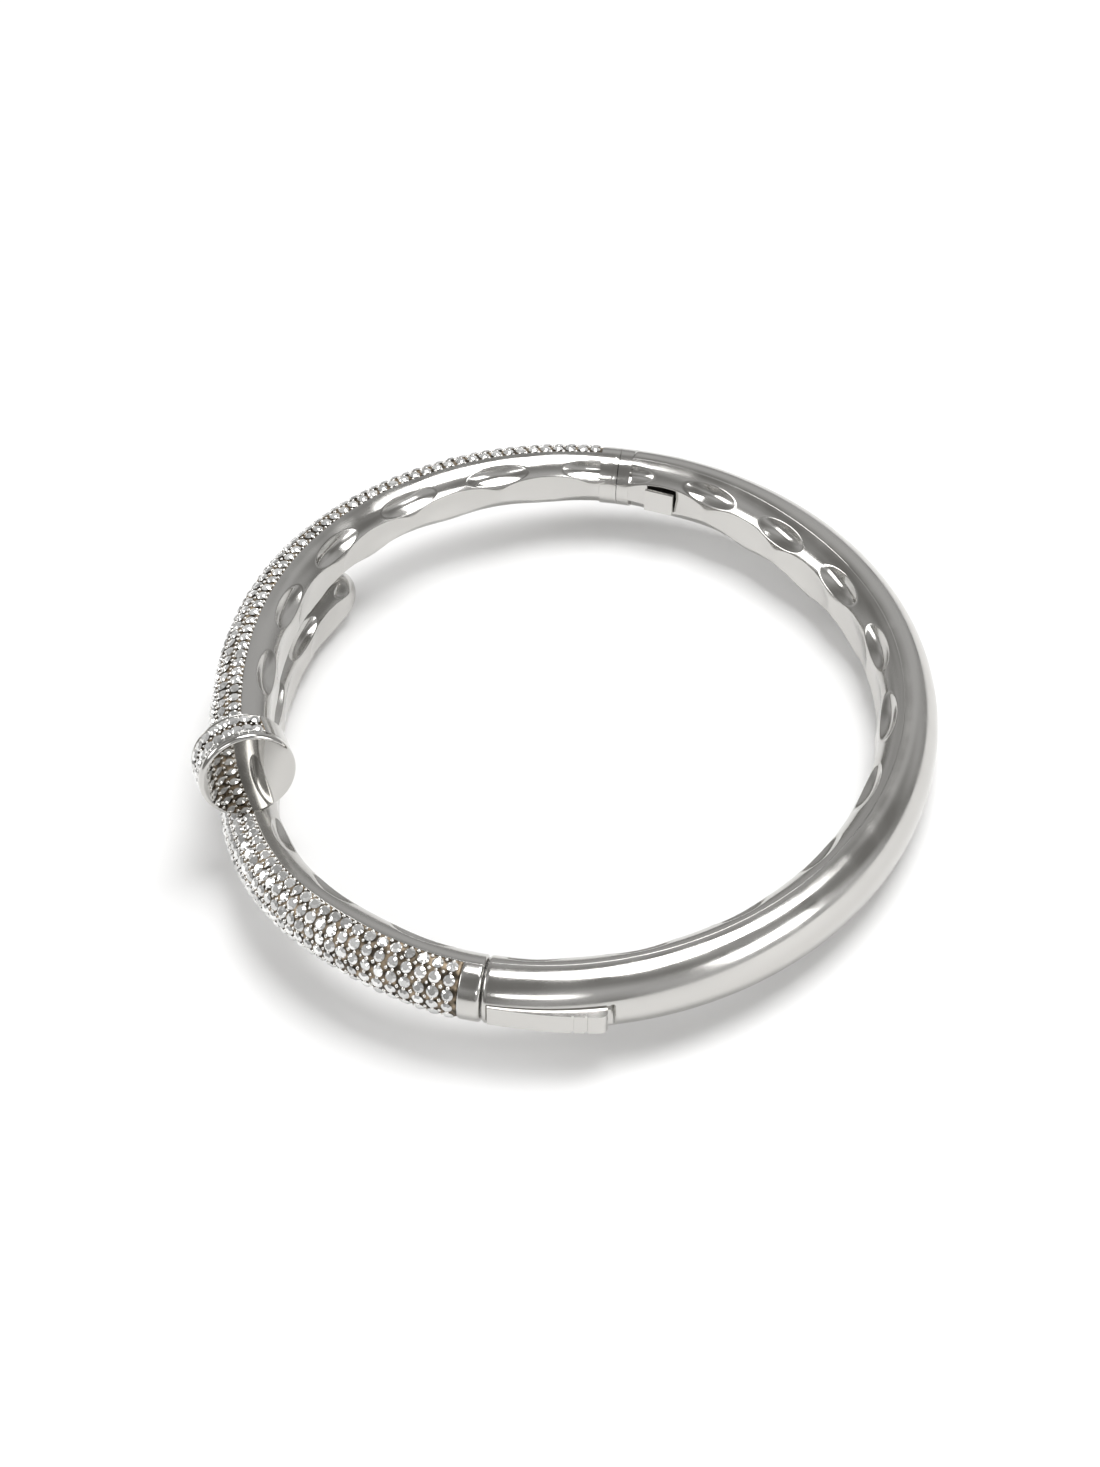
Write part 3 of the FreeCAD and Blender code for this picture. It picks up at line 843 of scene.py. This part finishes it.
class BANGLE_OT_head(bpy.types.Operator):
    """Builds the disc head: band with a stone channel, mirror face, stones"""

    bl_idname = "bangle.head"
    bl_label = "Disc head"

    def execute(self, context):
        at, axis, side, up = head_axes()
        turns = np.radians(np.linspace(0.0, 360.0, 361)[:-1])
        ring = side[None] * np.cos(turns)[:, None] + up[None] * np.sin(turns)[:, None]

        def rings(profile):
            """Rings about the head's axis from (back distance, radius) rows."""
            back, radius = profile
            return at - axis * back[..., None] + ring[None] * radius[..., None]

        # rings from the face end back along the side, over the foot, up the bore
        back = np.array([
            0.72, 0.78, 0.80, 0.84, 0.90, 2.86, 2.92, 2.96, 3.05, 3.14,
            HEAD_LONG, HEAD_LONG, 0.72,
        ])
        lip = np.array(
            9 * [HEAD_R] + [HEAD_R - 0.04, HEAD_R - 0.14, HEAD_BORE, HEAD_BORE]
        )
        cut = np.zeros(13)
        cut[4:6] = CHANNEL_DEEP
        cut[3] = cut[6] = CHANNEL_STEP
        degrees = (np.degrees(turns) + 180.0) % 360.0 - 180.0
        channel = ease((degrees - CHANNEL_FROM) / 1.5) * ease((CHANNEL_TO - degrees) / 1.5)
        radius = lip[:, None] - cut[:, None] * channel[None]
        shape = rings((back[:, None] + 0.0 * radius, radius))
        band = add_mesh("visual_head_band", shape.reshape(-1, 3), ring_faces(13, 360))
        face_out(band)
        sunk = np.zeros((13, 360), int)
        sunk[3:6] = channel > 0.5
        band.data.materials.append(material("polished_metal"))
        band.data.materials.append(material("bed_patina"))
        band.data.polygons.foreach_set("material_index", sunk.ravel())
        finish_piece(band, "front_half", None, ["head_band"])
        f = np.linspace(0.0, 0.5 * math.pi, 8)
        back = np.concatenate([[0.0], FACE_BEVEL * (1 - np.cos(f)), [HEAD_PLATE]])
        flat = HEAD_R - FACE_BEVEL - 0.01
        radius = np.concatenate([[flat], HEAD_R - FACE_BEVEL * (1 - np.sin(f)), [HEAD_R]])
        profile = (back[:, None] + 0.0 * turns, radius[:, None] + 0.0 * turns)
        plate = loft("visual_head_face", rings(profile))
        finish_piece(plate, "front_half", material("mirror_metal"), ["head_face"])
        self.set_stones(at, axis, side, up)
        return {"FINISHED"}

    def set_stones(self, at, axis, side, up):
        rng = np.random.default_rng(11)

        def around(backs, degrees, sink):
            """Spots and normals at the same turns on a ring at each back."""
            a = np.radians(degrees)
            n = side[None] * np.cos(a)[:, None] + up[None] * np.sin(a)[:, None]
            spots = [at - axis * back + n * (HEAD_R - sink) for back in backs]
            return np.concatenate(spots), np.concatenate([n] * len(backs))

        spots, normals = around(HEAD_STONE_BACKS, HEAD_STONE_TURNS, HEAD_STONE_SINK)
        points, faces = gem()
        sizes = HEAD_STONE_SIZE * rng.uniform(0.95, 1.03, len(spots))
        stones = scatter(
            "visual_head_stones", points, faces,
            spots, normals, sizes, rng, STONE_TILT, False,
        )
        finish_piece(stones, "front_half", material("stone"), ["head_stones"])
        spots, normals = around(HEAD_BEAD_BACKS, HEAD_BEAD_TURNS, HEAD_BEAD_SINK)
        points, faces = bead()
        sizes = HEAD_BEAD_SIZE * rng.uniform(0.8, 1.15, len(spots))
        beads = scatter(
            "visual_head_beads", points, faces,
            spots, normals, sizes, rng, BEAD_TILT, True,
        )
        finish_piece(beads, "front_half", material("bead_metal_painted_highlight"))


class BANGLE_OT_back(bpy.types.Operator):
    """Builds the polished back shell and its dimpled inner wall"""

    bl_idname = "bangle.back"
    bl_label = "Back half"

    def execute(self, context):
        start = -90.0 + SEAM
        end = 90.0 - SEAM
        cap_start = BACK.phi_at(BACK.length_to(np.array(end)) - BACK_CAP + SEAM_GAP)
        tight = 0.004
        lever_a = BACK.phi_at(LEVER_START - LEVER_GAP)
        lever_b = BACK.phi_at(LEVER_END + LEVER_THUMB_ROOM)
        ends = np.array([0.0, 0.02, 0.06, 0.12, 0.2, 0.3, 0.45])
        phis = np.sort(np.concatenate([
            start + ends,
            np.linspace(lever_a - tight, lever_a + tight, 2),
            np.linspace(lever_a + 0.4, lever_b - 0.4, 40),
            np.linspace(lever_b - tight, lever_b + tight, 2),
            np.linspace(lever_b + 0.5, cap_start, 260),
        ]))
        edge = math.degrees(math.asin((LEVER_Z + LEVER_GAP) / BAND_H))
        near = np.linspace(edge + 0.02, SHELL_EDGE, 32)
        thetas = np.concatenate([-near[::-1], np.linspace(-edge, edge, 15), near])
        recess = lever_recess(BACK)
        shell = wall("visual_back_outer_shell", BACK, phis, thetas, recess, SHELL_THICK)
        finish_piece(
            shell, "back_half", material("polished_metal"),
            ["back_outer_shell"],
        )
        inner = inner_wall("visual_back_inner_wall", BACK, start, end, SHELL_EDGE)
        finish_piece(
            inner, "back_half", material("inner_metal_painted_shade"),
            ["back_inner_wall"],
        )
        self.slotted_plate(start + 0.02, BACK.phi_at(0.42))
        return {"FINISHED"}

    def slotted_plate(self, face, behind):
        """End plate with a rectangular slot for the tongue: four rings, joined
        back to the first."""
        t = np.linspace(0.0, 360.0, 129)[:-1]
        b = np.radians(t)
        wide = np.abs(np.cos(b)) / TONGUE_ROOM_Y
        tall = np.abs(np.sin(b)) / TONGUE_ROOM_Z
        reach = 1.0 / np.maximum(wide, tall)

        def outer(phi):
            return BACK.skin(0.0 * t + phi, t, 0.0 * t - SEAM_RADIUS)

        def hole(phi):
            side = TONGUE_MIDDLE + reach * np.cos(b)
            point = BACK.centre(0.0 * t + phi) + plan_normal(0.0 * t + phi) * side[:, None]
            point[:, 2] += reach * np.sin(b)
            return point

        rings = np.stack([outer(behind), outer(face), hole(face), hole(behind)])
        obj = add_mesh(
            "visual_back_clasp_end_cap", rings.reshape(-1, 3), ring_faces(4, 128)
        )
        face_out(obj)
        finish_piece(
            obj, "back_half", material("polished_metal"),
            ["back_clasp_end_cap"],
        )


class BANGLE_OT_works(bpy.types.Operator):
    """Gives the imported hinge, clasp and end pieces their metals"""

    bl_idname = "bangle.works"
    bl_label = "Hinge and clasp"

    def execute(self, context):
        polished_nodes = (
            "front_hinge_end_cap", "back_hinge_end_cap", "clasp_lever", "hallmark_plate",
        )
        # these parts get the satin metal, whose darker colour is painted shade in the hinge
        # and clasp recesses
        satin_painted_shade_nodes = (
            "hinge_leaf_front", "hinge_leaf_back", "hinge_pin", "tongue",
            "catch_box", "lever_pin", "lever_spring",
        )
        for names, key in ((polished_nodes, "polished_metal"), (satin_painted_shade_nodes, "satin_metal_painted_shade")):
            for node in names:
                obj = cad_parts[node]
                obj.data.materials.clear()
                obj.data.materials.append(material(key))
        return {"FINISHED"}


# ---- stage ---------------------------------------------------------------------
CAMERA_AT = (0.026186, -0.146510, 0.143641)
CAMERA_LOOK = (-0.00024, -0.00337, 0.0)
CAMERA_LENS = 61.35
FLOOR_CLEARANCE = 2e-5
FLOOR_REACH = 1.5


class BANGLE_OT_stage(bpy.types.Operator):
    """Lays the floor against the bangle and adds the lights and the camera"""

    bl_idname = "bangle.stage"
    bl_label = "Stage"

    def execute(self, context):
        self.floor()
        self.lights()
        self.camera()
        return {"FINISHED"}

    def rest_plane(self):
        """Slope and height of the plane that the bangle rests on: under the
        crossing's tip at one side and under the back at the other."""
        low_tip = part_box("crossing_tip")[0]
        tip_x = 0.5 * (low_tip.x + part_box("crossing_tip")[1].x)
        low_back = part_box("back_outer_shell")[0]
        back_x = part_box("back_outer_shell")[1].x - BAND_T * MM
        slope = (low_back.z - low_tip.z) / (back_x - tip_x)
        drop = []
        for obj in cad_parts.values():
            co = np.zeros(len(obj.data.vertices) * 3)
            obj.data.vertices.foreach_get("co", co)
            co = co.reshape(-1, 3)
            drop.append(np.min(co[:, 2] - slope * co[:, 0]))
        return slope, min(drop) - FLOOR_CLEARANCE

    def floor(self):
        slope, height = self.rest_plane()
        r = FLOOR_REACH
        around = ((-r, -r), (r, -r), (r, r), (-r, r))
        corners = [(x, y, slope * x + height) for x, y in around]
        mesh = bpy.data.meshes.new("floor")
        mesh.from_pydata(corners, [], [[0, 1, 2, 3]])
        floor = bpy.data.objects.new("floor", mesh)
        bpy.context.scene.collection.objects.link(floor)
        mat, shader = new_material("floor_white", (0.97, 0.97, 0.97), 0.6, 0.0)
        vary(mat, shader, 60.0, 0.55, 0.65, 1e-6, 400.0)
        mesh.materials.append(mat)

    def lights(self):
        bpy.context.scene.view_settings.view_transform = "Standard"
        world = bpy.data.worlds.new("studio")
        world.use_nodes = True
        nodes, links = world.node_tree.nodes, world.node_tree.links
        coords = nodes.new("ShaderNodeTexCoord")
        cloud = nodes.new("ShaderNodeTexNoise")
        cloud.inputs["Scale"].default_value = 1.6
        cloud.inputs["Detail"].default_value = 1.0
        ramp = nodes.new("ShaderNodeValToRGB")
        ramp.color_ramp.elements[0].position = 0.36
        ramp.color_ramp.elements[0].color = (0.33, 0.325, 0.315, 1.0)
        ramp.color_ramp.elements[1].position = 0.66
        ramp.color_ramp.elements[1].color = (0.80, 0.80, 0.80, 1.0)
        links.new(coords.outputs["Generated"], cloud.inputs["Vector"])
        links.new(cloud.outputs["Fac"], ramp.inputs["Fac"])
        back = nodes["Background"]
        links.new(ramp.outputs["Color"], back.inputs["Color"])
        back.inputs["Strength"].default_value = 0.72
        bpy.context.scene.world = world
        panels = (
            ("key", (0.05, 0.10, 0.45), 0.26, 0.26, 1.55),
            ("left", (-0.45, -0.10, 0.22), 0.30, 0.16, 0.70),
            ("right", (0.42, -0.15, 0.25), 0.22, 0.20, 0.60),
            ("front", (0.05, -0.55, 0.30), 0.20, 0.10, 0.30),
        )
        for name, at, wide, tall, power in panels:
            light = bpy.data.lights.new(name, "AREA")
            light.shape = "RECTANGLE"
            light.size, light.size_y = wide, tall
            light.energy = power
            obj = bpy.data.objects.new(name, light)
            obj.location = at
            aim = Vector((0.0, 0.0, 0.0)) - Vector(at)
            obj.rotation_euler = aim.to_track_quat("-Z", "Y").to_euler()
            bpy.context.scene.collection.objects.link(obj)

    def camera(self):
        data = bpy.data.cameras.new("camera")
        data.sensor_width = 36.0
        data.lens = CAMERA_LENS
        data.clip_start = 0.01
        cam = bpy.data.objects.new("camera", data)
        cam.location = CAMERA_AT
        aim = Vector(CAMERA_LOOK) - Vector(CAMERA_AT)
        cam.rotation_euler = aim.to_track_quat("-Z", "Y").to_euler()
        bpy.context.scene.collection.objects.link(cam)
        bpy.context.scene.camera = cam


class BANGLE_PT_panel(bpy.types.Panel):
    """Lists the bangle's settings and steps"""

    bl_idname = "BANGLE_PT_panel"
    bl_label = "Crossing Bangle"
    bl_space_type = "VIEW_3D"
    bl_region_type = "UI"
    bl_category = "Bangle"

    def draw(self, context):
        for name in ("metal_color", "patina_color", "polish", "dimple_depth", "stone_size"):
            self.layout.prop(context.scene.bangle_settings, name)
        for step in STEPS:
            self.layout.operator(step.bl_idname)


STEPS = (
    BANGLE_OT_arms,
    BANGLE_OT_stones,
    BANGLE_OT_crossing,
    BANGLE_OT_head,
    BANGLE_OT_back,
    BANGLE_OT_works,
    BANGLE_OT_stage,
)
CLASSES = (BangleSettings, *STEPS, BANGLE_PT_panel)


def register():
    for cls in CLASSES:
        bpy.utils.register_class(cls)
    bpy.types.Scene.bangle_settings = bpy.props.PointerProperty(type=BangleSettings)


def unregister():
    del bpy.types.Scene.bangle_settings
    for cls in reversed(CLASSES):
        bpy.utils.unregister_class(cls)


def main():
    register()
    bpy.ops.bangle.arms()
    bpy.ops.bangle.stones()
    bpy.ops.bangle.crossing()
    bpy.ops.bangle.head()
    bpy.ops.bangle.back()
    bpy.ops.bangle.works()
    bpy.ops.bangle.stage()


if __name__ == "__main__":
    main()
